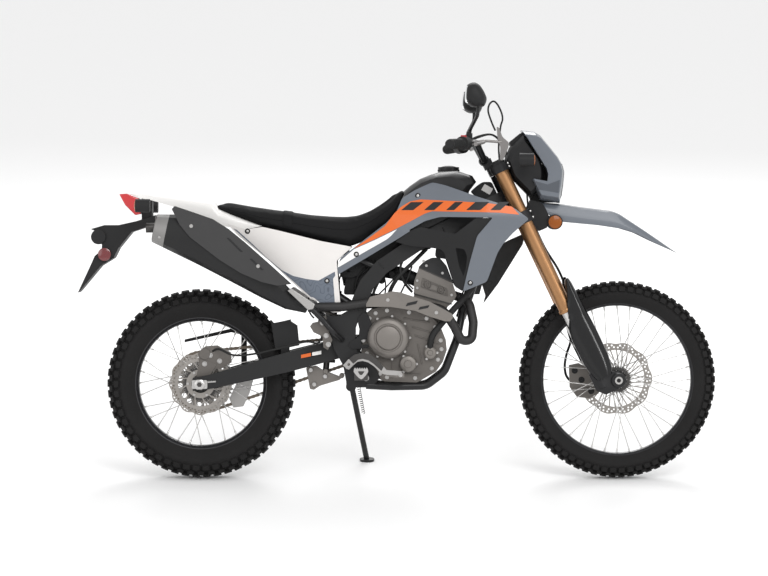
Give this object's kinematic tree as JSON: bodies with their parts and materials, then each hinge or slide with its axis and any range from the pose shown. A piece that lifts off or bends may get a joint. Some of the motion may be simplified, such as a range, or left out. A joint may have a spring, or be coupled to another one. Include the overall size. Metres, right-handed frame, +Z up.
{
  "type": "dual sport motorcycle",
  "caption": "Dual sport motorcycle leaning on its side stand, with spinning wire wheels, turning fork and folding stand.",
  "frame": {"origin": "middle of the bounding box at ground level", "axes": "+X towards the front wheel, +Y to the machine's left, +Z up from the ground"},
  "size_m": [2.2264, 0.8502, 1.4225],
  "materials": {
    "tyre": "matte tread rubber",
    "rim": "satin black",
    "hub": "satin",
    "spoke": "satin",
    "disc": "brushed",
    "chain": "oiled",
    "frame": "satin black",
    "steel": "satin",
    "black_plastic": "grained black",
    "alloy": "satin",
    "rubber": "matte",
    "engine": "cast, warm grey",
    "seat": "black grained cover",
    "grey_plastic": "satin blue-grey",
    "white_plastic": "satin white",
    "lamp_red": "clear red",
    "radiator": "black",
    "gold": "anodised bronze",
    "chrome": "polished"
  },
  "bodies": {
    "chassis": {"drive_chain": "chain", "swingarm": "frame", "rear_suspension": "steel", "chain_guards": "black_plastic", "rear_brake": "alloy", "rear_mudflap": "rubber", "main_frame": "frame", "cradle_tubes": "frame", "subframe": "frame", "peg_brackets": "frame", "engine_case": "engine", "engine_covers": "engine", "cylinder_head": "engine", "exhaust_pipe": "frame", "muffler": "black_plastic", "exhaust_shields": "steel", "seat": "seat", "fuel_tank": "black_plastic", "shrouds": "grey_plastic", "shroud_grilles": "black_plastic", "side_covers": "white_plastic", "airbox": "black_plastic", "rear_fender": "white_plastic", "plate_bracket": "black_plastic", "tail_lamp": "lamp_red", "rear_signals": "black_plastic", "radiator": "radiator", "foot_pegs": "steel", "passenger_pegs": "alloy", "brake_pedal": "steel", "shift_lever": "steel"},
    "steering": {"fork_tubes": "gold", "fork_legs": "chrome", "fork_clamps": "alloy", "front_axle": "steel", "fork_guards": "black_plastic", "front_caliper": "alloy", "front_fender": "grey_plastic", "fender_root": "black_plastic", "headlight_cowl": "grey_plastic", "lamp_house": "black_plastic", "handlebar": "frame", "bar_clamps": "alloy", "hand_controls": "rubber", "levers": "alloy", "mirrors": "black_plastic", "front_signals": "black_plastic"},
    "front_wheel": {"front_tyre": "tyre", "front_rim": "rim", "front_hub": "hub", "front_spokes": "spoke", "front_disc": "disc"},
    "rear_wheel": {"rear_tyre": "tyre", "rear_rim": "rim", "rear_hub": "hub", "rear_spokes": "spoke", "rear_disc": "disc", "rear_sprocket": "disc"},
    "side_stand": {"side_stand": "frame"}
  },
  "joints": [
    {"name": "steering", "type": "hinge", "parent": "chassis", "child": "steering", "pos_m": [0.35215, -0.02614, 1.04937], "axis": [-0.4258, 0.1571, 0.8911], "range_deg": [-43, 43]},
    {"name": "front_wheel_spin", "type": "hinge", "parent": "steering", "child": "front_wheel", "pos_m": [0.7703, -0.15088, 0.34195], "axis": [0, 0.9848, -0.1736], "continuous": true},
    {"name": "rear_wheel_spin", "type": "hinge", "parent": "chassis", "child": "rear_wheel", "pos_m": [-0.6847, -0.15331, 0.32816], "axis": [0, 0.9848, -0.1736], "continuous": true},
    {"name": "side_stand", "type": "hinge", "parent": "chassis", "child": "side_stand", "pos_m": [-0.1622, -0.02864, 0.29806], "axis": [0, 0.9885, 0.1513], "range_deg": [0, 95]}
  ]
}
